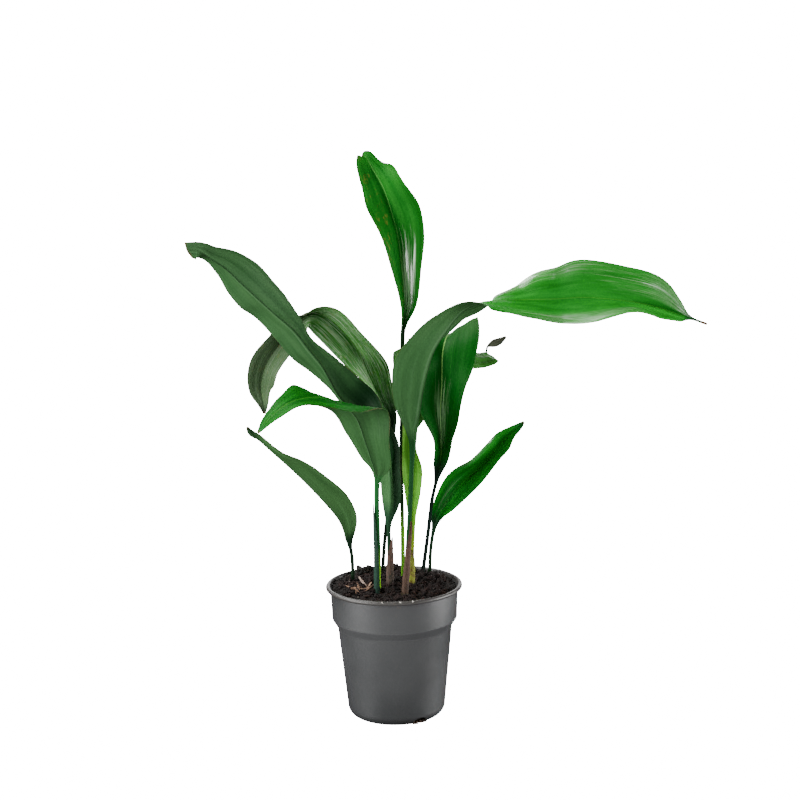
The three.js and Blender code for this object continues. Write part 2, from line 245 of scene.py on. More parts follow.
def bumpFrom(height, strength, distance):
    return addNode(height.id_data, "ShaderNodeBump", {
        "Height": height,
        "Strength": strength,
        "Distance": distance,
    }).outputs[0]


towardFront = (0, -1, 0)
# each row is one station: x, y and z of the midrib in mm, half width in mm,
# then turn of the blade about its midrib and rise of each half, in degrees; the upper face
# looks to the front where faces says nothing else
leaves = {
    "leaf_top": {"stalkEnd": 4, "stations": [
        [9, 17, 122, 1.8, 0, 20],
        [10, 17, 172, 1.7, 0, 20],
        [10, 18, 251, 1.7, 0, 20],
        [12, 22, 323, 1.7, 0, 20],
        [14, 28, 379, 2, -10, 25],
        [15, 31, 399, 4, -30, 45],
        [17, 33, 423, 15, -25, 50],
        [15, 38, 456, 23, -20, 45],
        [12, 44, 486, 30, -20, 40],
        [6, 53, 511, 32, -15, 35],
        [-2, 62, 536, 24, 0, 30],
        [-14, 78, 558, 18, -35, 15],
        [-20, 97, 568, 9, -50, 15],
        [-24, 108, 565, 1.5, -40, 10],
    ]},
    "leaf_arching": {"stalkEnd": 3, "stations": [
        [10, -28, 122, 2.1, 180, 20],
        [14, -31, 173, 2, 180, 20],
        [18, -36, 227, 2, 180, 20],
        [21, -40, 278, 2.5, 165, 30],
        [24, -43, 298, 8, 140, 40],
        [28, -44, 318, 23, 130, 45],
        [32, -44, 342, 33, 125, 45],
        [38, -43, 366, 38, 120, 45],
        [45, -41, 384, 34, 115, 35],
        [57, -36, 401, 32, 115, 20],
        [73, -31, 419, 30, 110, 5],
        [92, -26, 427, 28, 100, -10],
        [112, -24, 428, 28, 80, -5],
        [137, -15, 427, 28, 60, 0],
        [165, -5, 426, 32, 25, 25],
        [198, 2, 426, 41, 40, 25],
        [238, 9, 421, 38, 50, 35],
        [268, 15, 414, 32, 40, 40],
        [291, 17, 406, 15, 35, 35],
        [304, 16, 402, 2.5, 15, 15],
        [322, 17, 395, 1.2, 10, 10],
    ]},
    "leaf_long_left": {"stalkEnd": 2, "stations": [
        [-4, 4, 122, 2.1, 180, 20],
        [-4, 3, 173, 2, 180, 20],
        [-4, 2, 198, 2.6, 175, 30],
        [-1, 0, 222, 13, 180, 45],
        [-1, -4, 251, 19, 175, 55],
        [-5, -9, 277, 26, 170, 50],
        [-20, -14, 299, 29, 180, 50],
        [-34, -19, 319, 31, 200, 50],
        [-50, -22, 336, 30, 205, 55],
        [-65, -26, 365, 28, 175, 60],
        [-79, -31, 385, 28, 160, 60],
        [-92, -37, 404, 28, 165, 55],
        [-110, -43, 422, 28, 180, 50],
        [-124, -51, 437, 29, 180, 45],
        [-139, -57, 453, 27, 190, 40],
        [-153, -62, 468, 21, 205, 35],
        [-167, -69, 479, 14, 215, 30],
        [-176, -77, 486, 9, 180, 10],
        [-186, -90, 487, 9, 140, -10],
    ]},
    "leaf_back_drooping": {"stalkEnd": 3, "stations": [
        [-13, 52, 124, 1.8, 0, 20],
        [-9, 50, 170, 1.7, 0, 20],
        [-2, 44, 225, 1.7, 0, 20],
        [1, 38, 279, 2.8, 0, 25],
        [0, 36, 302, 7, -15, 35],
        [-11, 33, 324, 17, -45, 50],
        [-22, 32, 348, 25, -35, 45],
        [-34, 33, 378, 26, 10, 45],
        [-57, 38, 404, 28, 10, 50],
        [-76, 44, 413, 28, 15, 75],
        [-94, 47, 405, 26, 10, 65],
        [-112, 45, 382, 22, 5, 50],
        [-127, 44, 359, 20, -5, 40],
        [-133, 44, 337, 15, 0, 30],
        [-131, 40, 321, 7, -5, 25],
        [-130, 40, 309, 1.2, 0, 20],
    ]},
    "leaf_right_middle": {"faces": [0, -0.5, 0.87], "stalkEnd": 3, "stations": [
        [28, 36, 124, 1.9, 0, 20],
        [36, 38, 177, 1.8, 0, 20],
        [41, 40, 213, 1.8, 0, 20],
        [46, 43, 234, 2, -5, 30],
        [51, 46, 254, 10, -10, 45],
        [52, 49, 277, 17, -10, 55],
        [52, 49, 305, 28, 0, 45],
        [54, 54, 336, 35, 0, 40],
        [55, 58, 362, 38, -10, 30],
        [59, 69, 378, 39, 15, 10],
        [65, 87, 383, 35, 35, 10],
        [69, 103, 380, 22, 20, 10],
        [72, 115, 378, 1.5, 20, 10],
    ]},
    "leaf_back_right": {"stalkEnd": 2, "stations": [
        [9, 34, 124, 1.9, 0, 20],
        [10, 40, 193, 1.8, 0, 20],
        [10, 49, 245, 1.8, 0, 20],
        [12, 54, 266, 3, -10, 40],
        [16, 62, 290, 16, -15, 50],
        [25, 68, 317, 29, -15, 45],
        [38, 71, 340, 43, 10, 20],
        [52, 76, 357, 38, 55, 5],
        [79, 84, 364, 33, 75, -5],
        [96, 92, 357, 19, 80, -5],
        [102, 99, 356, 15, 70, 0],
        [104, 114, 358, 1.2, -10, 5],
        [105, 106, 365, 1.2, 0, 10],
        [111, 107, 368, 4, 0, 0],
        [117, 108, 370, 4, 0, 0],
        [125, 108, 375, 1.2, 0, 10],
    ]},
    "leaf_young": {"stalkEnd": 2, "stations": [
        [17, -1, 124, 2, 0, 20],
        [19, -1, 161, 1.9, 0, 20],
        [20, -1, 187, 2.2, 0, 25],
        [20, 0, 208, 5, 0, 40],
        [21, 2, 232, 11, 0, 45],
        [21, 4, 255, 14, 0, 45],
        [20, 7, 276, 12, 10, 55],
        [20, 9, 296, 11, 5, 50],
        [18, 11, 317, 7, 5, 45],
        [17, 13, 335, 1.2, 0, 30],
    ]},
    "leaf_low_right": {"stalkEnd": 2, "stations": [
        [37, 45, 124, 1.7, 0, 20],
        [39, 46, 158, 1.6, 0, 20],
        [43, 48, 182, 2.4, 0, 20],
        [47, 50, 195, 8, 10, 40],
        [56, 51, 209, 16, 10, 45],
        [71, 51, 227, 20, 15, 40],
        [90, 54, 243, 21, 10, 55],
        [105, 56, 259, 18, 10, 55],
        [118, 61, 271, 14, 15, 45],
        [129, 62, 281, 7, 25, 40],
        [140, 66, 290, 1.2, 0, 20],
    ]},
    "leaf_low_left": {"stalkEnd": 2, "stations": [
        [-43, 26, 122, 1.8, 180, 20],
        [-43, 25, 155, 1.7, 180, 20],
        [-45, 23, 173, 2.6, 195, 30],
        [-49, 20, 186, 12, 225, 45],
        [-55, 17, 201, 21, 235, 50],
        [-67, 14, 218, 26, 240, 50],
        [-84, 9, 239, 24, 250, 50],
        [-102, 4, 259, 20, 250, 40],
        [-117, 0, 274, 12, 255, 30],
        [-130, -3, 287, 7, 240, 30],
        [-140, -6, 297, 3.8, 190, 30],
        [-144, -6, 304, 1.2, 150, 30],
    ]},
    "leaf_folded": {"faces": [0.75, -0.66, 0], "stalkEnd": 2, "stations": [
        [-16, -20, 122, 2.7, -90, 20],
        [-15, -23, 178, 2.6, -90, 20],
        [-15, -27, 231, 2.6, -90, 20],
        [-15, -27, 252, 5, -90, 30],
        [-17, -33, 267, 19, -90, 20],
        [-24, -42, 293, 28, -90, 15],
        [-31, -48, 316, 34, -100, 20],
        [-42, -64, 333, 37, -95, 5],
        [-57, -85, 344, 35, -80, 0],
        [-76, -102, 348, 29, -75, 10],
        [-94, -113, 345, 19, -90, 10],
        [-111, -119, 333, 10, -95, 5],
        [-123, -122, 319, 1.5, -90, 10],
    ]},
}

leafLook = {
    "ringsPerStation": 10,
    "columns": 56,
    "sharpAngle": 55,
    "bladeThickness": 0.6,
    "midribDepth": 1.0,
    "midribWidth": 1.1,
    "stalkDepth": 2.2,
    "stalkBlend": 2,
    "edgeBow": 0.1,
    "broadRib": 0.6,
    "fullHalfWidth": 20,
    "valley": 12,
    "fineRibs": 6,
    "fineRibHeight": 0.1,
    "waveHeight": 1.6,
    "waveScale": 26.0,
    "waveSpread": 0.012,
    "waveEdge": 2.5,
    "waveSeedStep": 1.7,
    "streakSeedStep": 3.7,
}


# a smooth curve through the rows, read at a share of the way along them
def between(rows, place):
    last = len(rows) - 1
    span = min(int(place * last), last - 1)
    t = place * last - span
    first, second = rows[span], rows[span + 1]
    before = rows[span - 1] if span > 0 else [2 * a - b for a, b in zip(first, second)]
    later = rows[span + 2] if span + 2 <= last else [2 * b - a for a, b in zip(first, second)]
    values = []
    for a, b, c, d in zip(before, first, second, later):
        step = c - b
        leaving = (c - a) / 2
        arriving = (d - b) / 2
        bend = 3 * step - 2 * leaving - arriving
        swing = leaving + arriving - 2 * step
        values.append(b + leaving * t + bend * t * t + swing * t * t * t)
    return values


def clamp(value):
    return min(max(value, 0), 1)


def crossSection(leaf, place):
    rows = leaf["stations"]
    x, y, z, halfWidth, turn, fold = between(rows, place)
    nearby = 0.0005
    ahead = Vector(between(rows, min(place + nearby, 1))[:3])
    behind = Vector(between(rows, max(place - nearby, 0))[:3])
    along = (ahead - behind).normalized()
    faces = Vector(leaf.get("faces", towardFront))
    faces = (faces - along * faces.dot(along)).normalized()
    sideways = along.cross(faces)
    twist = Matrix.Rotation(-math.radians(turn), 3, along)
    return {
        "middle": Vector((x, y, z)),
        "across": twist @ sideways,
        "up": twist @ faces,
        "halfWidth": max(halfWidth, 1),
        "fold": math.radians(fold),
        "full": clamp(halfWidth / leafLook["fullHalfWidth"]),
        "stalk": clamp(1 - (place * (len(rows) - 1) - leaf["stalkEnd"]) / leafLook["stalkBlend"]),
    }


# the upper and lower face of a leaf at v, from -1 at one margin to 1 at the other
def leafPoints(section, v):
    half, fold, full = section["halfWidth"], section["fold"], section["full"]
    bow = leafLook["edgeBow"] * full
    rib = leafLook["broadRib"] * full * (1 - math.cos(4 * math.pi * v)) / 2
    sideways = half * v * math.cos(fold)
    upwards = half * (abs(v) * math.sin(fold) - bow * v * v) + rib
    soft = math.tanh(v * leafLook["valley"])
    slope = soft * math.sin(fold) - 2 * bow * v
    lean = math.hypot(slope, math.cos(fold))
    plump = leafLook["stalkDepth"] * section["stalk"] * math.sqrt(max(0, 1 - v * v))
    nearMiddle = math.exp(-((v * half / leafLook["midribWidth"]) ** 2))
    midrib = leafLook["midribDepth"] * full * (1 - section["stalk"]) * nearMiddle
    thickness = leafLook["bladeThickness"] + plump + midrib
    across, up, middle = section["across"], section["up"], section["middle"]
    upper = middle + across * sideways + up * upwards
    lower = upper + across * (thickness * slope / lean) - up * (thickness * math.cos(fold) / lean)
    return upper * mm, lower * mm


# closed mesh from two facing grids, with values and the way up for each point of the grid
def thinMesh(name, upper, lower, values, ups):
    rows, columns = len(upper), len(upper[0])
    count = rows * columns
    points = [p for row in upper for p in row] + [p for row in lower for p in row]
    faces = []
    for row in range(rows - 1):
        for column in range(columns - 1):
            a = row * columns + column
            b, c, d = a + 1, a + columns + 1, a + columns
            faces.append((a, b, c, d))
            faces.append((count + a, count + d, count + c, count + b))
    border = list(range(columns))
    border += [row * columns + columns - 1 for row in range(1, rows)]
    border += [(rows - 1) * columns + column for column in range(columns - 2, -1, -1)]
    border += [row * columns for row in range(rows - 2, 0, -1)]
    for here, following in zip(border, border[1:] + border[:1]):
        faces.append((here, count + here, count + following, following))
    mesh = bpy.data.meshes.new(name)
    mesh.from_pydata(points, [], faces)
    for key, numbers in values.items():
        layer = mesh.attributes.new(key, "FLOAT", "POINT")
        layer.data.foreach_set("value", numbers * 2)
    side = mesh.attributes.new("upperFace", "FLOAT", "POINT")
    side.data.foreach_set("value", [1.0] * count + [0.0] * count)
    mesh.shade_smooth()
    mesh.set_sharp_from_angle(angle=math.radians(leafLook["sharpAngle"]))
    layer = mesh.attributes.new("up", "FLOAT_VECTOR", "POINT")
    layer.data.foreach_set("vector", ups * 2)
    return mesh


def leafMesh(name, leaf):
    rings = leafLook["ringsPerStation"] * (len(leaf["stations"]) - 1)
    columns = leafLook["columns"]
    places = [2 * column / columns - 1 for column in range(columns + 1)]
    upper, lower, ups = [], [], []
    values = {"across": [], "along": [], "blade": [], "halfWidth": [], "share": []}
    length, before = 0, None
    for ring in range(rings + 1):
        section = crossSection(leaf, ring / rings)
        if before is not None:
            length += (section["middle"] - before).length
        before = section["middle"]
        points = [leafPoints(section, v) for v in places]
        upper.append([point[0] for point in points])
        lower.append([point[1] for point in points])
        ups += [component for v in places for component in section["up"]]
        values["across"] += places
        for key, value in (
            ("along", length * mm),
            ("blade", section["full"] * (1 - section["stalk"])),
            ("halfWidth", section["halfWidth"] * mm),
            ("share", ring / rings),
        ):
            values[key] += [value] * len(places)
    total = length * mm
    values["toTip"] = [total - value for value in values["along"]]
    return thinMesh(name, upper, lower, values, ups)


# raises fine ribs and waves on a blade: both faces move the same way
def reliefTree():
    tree, given = newGroup("leafRelief", {
        "ribs": "Float",
        "ribHeight": "Float",
        "waveHeight": "Float",
        "seed": "Float",
    })

    def stored(name, kind="FLOAT"):
        return addNode(tree, "GeometryNodeInputNamedAttribute", {"Name": name}, data_type=kind).outputs[0]

    across = stored("across")
    angle = times(across, times(given["ribs"], math.tau))
    rise = times(mathNode("COSINE", angle), given["ribHeight"])
    place = joinXYZ(tree, stored("along"), times(across, leafLook["waveSpread"]), given["seed"])
    swing = minus(noiseAt(place, leafLook["waveScale"], 1.0), 0.5)
    edge = mathNode("POWER", mathNode("ABSOLUTE", across), leafLook["waveEdge"])
    wave = times(times(swing, edge), given["waveHeight"])
    offset = addNode(tree, "ShaderNodeVectorMath", {
        0: stored("up", "FLOAT_VECTOR"),
        "Scale": times(plus(rise, wave), stored("blade")),
    }, operation="SCALE")
    moved = addNode(tree, "GeometryNodeSetPosition", {"Geometry": given[0], "Offset": offset.outputs[0]})
    finishGroup(tree, given, moved.outputs[0])
    return tree


# noise on a blade: how often across and along it, its shift, scale, detail and roughness
grain = {
    "broad": (2.2, 9, 0, 1.6, 2),
    "fine": (16, 14, 7, 1.5, 3),
    "hair": (60, 16, 13, 1.2, 2),
    "speckle": (7, 70, 41, 1.4, 3, 0.7),
    "patches": (1, 40, 21, 1.0, 2),
    "tip": (3, 90, 33, 1.0, 2),
}
# where each marking begins and where it is full; the widths are in metres
fades = {
    "streaks": (0.36, 0.64),
    "underHairs": (0.55, 0.8),
    "rib": (0.0003, 0.0009),
    "besideRib": (0.0003, 0.001),
    "flecks": (0.58, 0.7),
    "blade": (0.05, 0.35),
    "margin": (0.0001, 0.0006),
    "marginBlade": (0.1, 0.5),
    "marginPatches": (0.4, 0.6),
}
# how softly each marking ends
softness = {
    "shineAlong": 0.08,
    "shineAcross": 0.2,
    "shineEnds": 0.35,
    "lines": 0.12,
    "dullAndSheen": 0.12,
    "fleckEdge": 0.2,
    "paintedShadeAlong": 0.1,
    "paintedShadeAcross": -0.15,
    "paleFoot": 0.03,
    "dryTip": 0.004,
}


# from 0 at the start to 1 a soft distance on, or between two other ends
def fadeFrom(value, start, soft, *ends):
    return spread(value, start, start + soft, *ends)


# one finish for all blades: glossy streaked upper face, dull grey-green underside, with painted highlights,
# sheen and shade in places
def leafMaterial(name, look):
    material, tree, shader = newMaterial(name)
    across, along, side, toTip, blade, halfWidth, share = (attribute(tree, key) for key in (
        "across", "along", "upperFace", "toTip", "blade", "halfWidth", "share"))

    def grainNoise(sideScale, alongScale, shift, *noiseValues):
        place = joinXYZ(tree, times(across, sideScale), times(along, alongScale), shift + look["seed"])
        return noiseAt(place, *noiseValues)

    broad, fine, hair, speckle, patches, tipNoise = (grainNoise(*row) for row in grain.values())
    streak = spread(plus(times(broad, 0.8), times(fine, 0.2)), *fades["streaks"])
    upper = mixColour(streak, look["dark"], look["bright"])
    # pale hair streaks: a lighter tone of the leaf on most blades, and painted highlight streaks where the
    # colour is near white
    paleHairsAndSheen = fadeFrom(hair, look["paleFrom"], look["paleSoft"], 0, look["paleShare"])
    upper = mixColour(paleHairsAndSheen, upper, look["paleStreakAndSheen"])
    under = mixColour(streak, look["underDark"], look["under"])
    under = mixColour(spread(hair, *fades["underHairs"], 0, 0.3), under, look["underPale"])

    sideways = times(across, halfWidth)
    fromMiddle = mathNode("ABSOLUTE", sideways)
    upperRib = spread(fromMiddle, *fades["rib"], look["ribPale"], 0)
    upper = mixColour(times(upperRib, blade), upper, look["midrib"])
    besideRib = mathNode("ABSOLUTE", minus(sideways, look["paleLine"]))
    paleLine = spread(besideRib, *fades["besideRib"], 0.5, 0)
    under = mixColour(times(paleLine, blade), under, look["underPale"])
    # painted shade: a dark line down the midrib groove of the underside
    grooveShadeMask = spread(fromMiddle, *fades["rib"], look["grooveShadeShare"], 0)
    under = mixColour(times(grooveShadeMask, blade), under, look["grooveShade"])

    # polished patches have fine shiny lines between duller ones, and each line ends at its own place; the
    # lines get a glossy coat and a pale painted highlight colour
    ragged = plus(share, times(minus(fine, 0.5), softness["shineEnds"]))
    shiny = 0
    for shareFrom, shareTo, acrossFrom, acrossTo in look["shines"]:
        patch = times(band(ragged, shareFrom, shareTo, softness["shineAlong"]),
                      band(across, acrossFrom, acrossTo, softness["shineAcross"]))
        shiny = plus(shiny, patch)
    glossAndPaintedSheen = times(shiny, times(side, fadeFrom(hair, look["linesFrom"], softness["lines"])))
    upper = mixColour(times(glossAndPaintedSheen, look["paintedSheenShare"]), upper, look["paintedSheen"])
    body = mixColour(side, under, upper)

    # duller and rougher towards the tip, and coloured grey-green there as a painted sheen on a backward
    # crest or a hanging tip
    dullAndSheen = fadeFrom(plus(share, times(broad, 0.1)), look["dullFrom"], softness["dullAndSheen"])
    body = mixColour(times(dullAndSheen, look["dullShare"]), body, look["dullAndSheen"])
    flecks = times(spread(speckle, *fades["flecks"], 0, look["flecks"]),
                   fadeFrom(across, look["fleckEdge"], softness["fleckEdge"], 1, 0))
    body = mixColour(flecks, body, look["fleck"])
    # painted shade: the lower part of a blade turns dark green where the leaves around it shade it, on one
    # side of the midrib or across the whole blade
    paintedShade = times(spread(share, look["paintedShadeTo"] - softness["paintedShadeAlong"], look["paintedShadeTo"], 1, 0),
                  fadeFrom(across, look["paintedShadeFrom"], softness["paintedShadeAcross"]))
    body = mixColour(times(paintedShade, look["paintedShadeShare"]), body, look["paintedShade"])
    foot = fadeFrom(along, look["paleFoot"], softness["paleFoot"], 1, 0)
    stalk = mixColour(foot, look["stalk"], look["stalkFoot"])
    body = mixColour(spread(blade, *fades["blade"]), stalk, body)
    edge = spread(minus(halfWidth, fromMiddle), *fades["margin"], 0.7, 0)
    edge = times(edge, spread(blade, *fades["marginBlade"]))
    body = mixColour(times(edge, spread(patches, *fades["marginPatches"])), body, look["margin"])
    wander = times(tipNoise, look["tipWander"])
    tip = fadeFrom(plus(toTip, wander), look["dryTip"], softness["dryTip"], 1, 0)
    body = mixColour(tip, body, look["dry"])

    plain = spread(side, 0, 1, look["underRough"], look["rough"])
    veins = mathNode("SINE", times(across, look["veins"]))
    relief = plus(times(veins, look["veinDepth"]), times(fine, look["streakDepth"]))
    fill(shader, {
        "Base Color": body,
        "Roughness": plus(plus(plain, times(dullAndSheen, 0.2)), times(tip, 0.3)),
        "Specular IOR Level": look["gleam"],
        "Coat Weight": glossAndPaintedSheen,
        "Coat Roughness": look["coatRough"],
        "Coat IOR": look["coatIor"],
        "Normal": bumpFrom(relief, *look["bump"]),
    })
    return material


# colours are screen values; shines are patches, each from and to along the leaf (0 to 1) and
# from and to across it (-1 to 1), that get a glossy coat and a painted highlight colour
greenLook = {
    "dark": (4, 84, 8), "bright": (12, 112, 16), "paleStreakAndSheen": (50, 146, 42),
    "underDark": (43, 79, 42), "under": (57, 94, 54), "underPale": (84, 117, 82),
    "grooveShade": (20, 44, 22), "midrib": (70, 140, 40), "ribPale": 0.4, "grooveShadeShare": 0.75,
    "paleLine": 0.002, "margin": (78, 60, 42), "stalk": (20, 60, 24), "stalkFoot": (20, 40, 22),
    "paleFoot": 0.02, "dryTip": 0.002, "dry": (92, 74, 46), "dullAndSheen": (64, 80, 58),
    "dullFrom": 2.0, "dullShare": 0.8, "fleck": (128, 112, 48), "flecks": 0.0, "fleckEdge": 1.0,
    "paintedShade": (2, 38, 12), "paintedShadeFrom": -0.05, "paintedShadeTo": 0.3, "paintedShadeShare": 0.0,
    "paleFrom": 0.6, "paleSoft": 0.15, "paleShare": 0.25, "rough": 0.5, "underRough": 0.6,
    "gleam": 0.06, "shines": [], "paintedSheen": (150, 196, 140), "paintedSheenShare": 0.3, "linesFrom": 0.44,
    "coatRough": 0.16, "coatIor": 1.9, "veins": 190.0, "veinDepth": 0.4, "streakDepth": 2.0,
    "bump": (0.3, 0.00022), "tipWander": 0.006,
}
leafLooks = {
    "leaf_top": {
        "dark": (8, 82, 14), "bright": (26, 98, 24), "midrib": (72, 142, 62), "ribPale": 0.8,
        "stalk": (18, 46, 18), "stalkFoot": (84, 142, 34), "paleFoot": 0.06, "dryTip": 0.006,
        "dry": (52, 40, 30), "fleck": (96, 104, 40), "flecks": 0.75, "fleckEdge": -0.35,
        "gleam": 0.02, "shines": [(0.48, 0.52, 0.13, 0.5)], "linesFrom": 0.36,
        "paintedSheen": (176, 214, 168), "paintedSheenShare": 0.75,
    },
    "leaf_arching": {
        "dark": (14, 100, 16), "bright": (32, 132, 34), "paleStreakAndSheen": (80, 160, 74),
        "under": (60, 100, 56), "underDark": (48, 87, 46), "stalk": (16, 60, 26),
        "stalkFoot": (60, 84, 34), "dryTip": 0.008, "dry": (88, 66, 42),
        "shines": [(0.64, 0.7, -1, -0.8), (0.68, 0.76, 0.76, 1), (0.86, 0.91, -0.85, -0.35)],
        "paintedSheenShare": 0.5,
    },
    # the dark half at the foot of this blade is painted shade
    "leaf_long_left": {
        "stalk": (22, 54, 32), "stalkFoot": (54, 56, 42), "paintedShadeTo": 0.5, "paintedShadeShare": 0.92,
    },
    # on this leaf the near-white hair streaks are painted highlights, the grey-green hanging tip is painted
    # sheen and the dark lower blade is painted shade
    "leaf_back_drooping": {
        "dark": (38, 96, 30), "bright": (60, 122, 46), "paleStreakAndSheen": (196, 212, 188),
        "paleFrom": 0.54, "paleSoft": 0.06, "paleShare": 0.7, "underDark": (40, 56, 40),
        "under": (52, 69, 50), "paintedShade": (6, 46, 18), "paintedShadeFrom": 1.2, "paintedShadeTo": 0.38,
        "paintedShadeShare": 0.85, "stalk": (10, 34, 16), "stalkFoot": (10, 30, 16), "dullFrom": 0.62,
        "flecks": 0.3,
    },
    "leaf_right_middle": {
        "dark": (3, 70, 8), "bright": (3, 76, 6), "stalk": (8, 30, 20),
        "stalkFoot": (14, 30, 22), "midrib": (110, 160, 80), "ribPale": 0.9,
        "dullAndSheen": (56, 90, 50), "dullFrom": 0.8, "dullShare": 0.75,
        "shines": [(0.47, 0.5, -0.16, 0.22)], "paintedSheenShare": 0.7,
    },
    "leaf_back_right": {
        "dark": (34, 84, 26), "bright": (44, 98, 34), "underDark": (44, 84, 36),
        "under": (54, 94, 44), "dryTip": 0.024, "dry": (72, 76, 62),
    },
    "leaf_young": {
        "dark": (62, 140, 26), "bright": (110, 176, 62), "paleStreakAndSheen": (136, 190, 90),
        "under": (96, 156, 52), "underDark": (66, 130, 28), "stalk": (84, 142, 24),
        "stalkFoot": (130, 148, 30), "paleFoot": 0.045, "flecks": 0.2,
    },
    "leaf_low_right": {
        "dark": (8, 96, 14), "bright": (18, 128, 26), "stalk": (14, 50, 24),
        "stalkFoot": (24, 50, 26), "ribPale": 0.3,
        "shines": [(0.38, 0.42, -0.35, 0.1), (0.64, 0.68, -1, -0.75)], "paintedSheen": (96, 176, 98),
        "paintedSheenShare": 0.6,
    },
    "leaf_low_left": {
        "underDark": (44, 78, 40), "under": (56, 92, 50), "stalk": (10, 36, 18),
    },
    "leaf_folded": {
        "dark": (2, 72, 5), "bright": (6, 92, 9), "underDark": (41, 74, 38),
        "under": (51, 88, 48), "stalk": (24, 84, 36), "stalkFoot": (110, 168, 20),
        "paleFoot": 0.03,
    },
}

relief = reliefTree()
for number, (name, leaf) in enumerate(leaves.items()):
    look = {**greenLook, **leafLooks.get(name, {}), "seed": number * leafLook["streakSeedStep"]}
    piece = addObject(name + "_blade", leafMesh(name + "_blade", leaf))
    grow(piece, relief, {
        "ribs": float(leafLook["fineRibs"]),
        "ribHeight": leafLook["fineRibHeight"] * mm,
        "waveHeight": leafLook["waveHeight"] * mm,
        "seed": number * leafLook["waveSeedStep"],
        "Material": leafMaterial(name, look),
    })
    handOver(piece, "young_leaf" if name == "leaf_young" else "leaf", name)
print("leaves made:", len(leaves))

# sheaths round the feet of four stalks, three papery and one a dark green strip painted as shade: how many
# stations each reaches up, which way its back looks and how far it wraps round, in degrees, and its radius
# at foot and top
sheathLook = {
    "thickness": 0.6,
    "rings": 60,
    "columns": 40,
    "stalkMiddle": 1.1,
    "narrowing": 0.9,
    "noiseLength": 0.07,
    "ribs": 5.0,
    "ribHeight": 0.1,
    "waveHeight": 0.3,
    "firstSeed": 20.0,
    "fibres": (2.0, 4, 0.6),
    "blotches": (160, 3, 0.6),
    "bump": (0.6, 0.0004),
    "roughness": 0.7,
    "gleam": 0.3,
}
sheaths = {
    "sheath_arching": {
        "leaf": "leaf_arching", "reach": 1.7, "back": 225, "wrap": 125, "foot": 3.5, "top": 3.4,
        "slot": "dry_sheath", "low": (66, 50, 38), "high": (90, 58, 42), "dark": (46, 34, 26),
        "lowest": (84, 104, 30),
    },
    "sheath_long_left": {
        "leaf": "leaf_long_left", "reach": 1.4, "back": 200, "wrap": 145, "foot": 4.2, "top": 4,
        "slot": "dry_sheath", "low": (62, 52, 44), "high": (96, 64, 52), "dark": (42, 40, 32),
        "lowest": (62, 52, 44),
    },
    "sheath_young": {
        "leaf": "leaf_young", "reach": 1.4, "back": 100, "wrap": 115, "foot": 3.5, "top": 3.4,
        "slot": "young_sheath", "low": (134, 146, 32), "high": (110, 126, 34), "dark": (88, 58, 30),
        "lowest": (150, 156, 50),
    },
    # a dark teal strip on the left of the folded leaf's stalk, whose colour is painted shade for the
    # stalk's shaded side
    "sheath_folded": {
        "leaf": "leaf_folded", "reach": 1.9, "back": 295, "wrap": 100, "foot": 4, "top": 3.7,
        "slot": "green_sheath", "low": (10, 48, 32), "high": (10, 58, 36), "dark": (8, 36, 28),
        "lowest": (10, 44, 28),
    },
}


def sheathMesh(name, sheath):
    leaf = leaves[sheath["leaf"]]
    rings, columns = sheathLook["rings"], sheathLook["columns"]
    outer, inner, ups = [], [], []
    values = {"across": [], "along": [], "blade": [], "rise": []}
    for ring in range(rings + 1):
        rise = ring / rings
        section = crossSection(leaf, rise * sheath["reach"] / (len(leaf["stations"]) - 1))
        radius = sheath["foot"] + (sheath["top"] - sheath["foot"]) * rise
        wrap = sheath["wrap"] * (1 - sheathLook["narrowing"] * rise * rise)
        middle = section["middle"] - section["up"] * sheathLook["stalkMiddle"]
        outer.append([])
        inner.append([])
        for column in range(columns + 1):
            v = 1 - 2 * column / columns
            angle = math.radians(sheath["back"] + wrap * v)
            ray = section["across"] * math.cos(angle) + section["up"] * math.sin(angle)
            outer[-1].append((middle + ray * radius) * mm)
            inner[-1].append((middle + ray * (radius - sheathLook["thickness"])) * mm)
            ups += list(ray)
            values["across"].append(v)
            values["along"].append(rise * sheathLook["noiseLength"])
            values["blade"].append(1.0)
            values["rise"].append(rise)
    return thinMesh(name, outer, inner, values, ups)


def sheathMaterial(name, sheath):
    material, tree, shader = newMaterial(name)
    rise = attribute(tree, "rise")
    place = joinXYZ(tree, times(attribute(tree, "across"), 9.0), times(rise, 2.0), float(len(name)))
    fibres = noiseAt(place, *sheathLook["fibres"])
    blotches = noiseAt(objectPlace(tree), *sheathLook["blotches"])
    body = mixColour(rise, sheath["low"], sheath["high"])
    body = mixColour(spread(rise, 0.08, 0.16, 1, 0), body, sheath["lowest"])
    body = mixColour(spread(fibres, 0.42, 0.62, 0, 0.7), body, sheath["dark"])
    body = mixColour(spread(blotches, 0.52, 0.66, 0, 0.8), body, sheath["dark"])
    fill(shader, {
        "Base Color": body,
        "Roughness": sheathLook["roughness"],
        "Specular IOR Level": sheathLook["gleam"],
        "Normal": bumpFrom(fibres, *sheathLook["bump"]),
    })
    return material


for number, (name, sheath) in enumerate(sheaths.items()):
    piece = addObject(name + "_papery", sheathMesh(name + "_papery", sheath))
    grow(piece, relief, {
        "ribs": sheathLook["ribs"],
        "ribHeight": sheathLook["ribHeight"] * mm,
        "waveHeight": sheathLook["waveHeight"] * mm,
        "seed": sheathLook["firstSeed"] + number,
        "Material": sheathMaterial(name, sheath),
    })
    handOver(piece, sheath["slot"], name)
print("sheaths made:", len(sheaths))

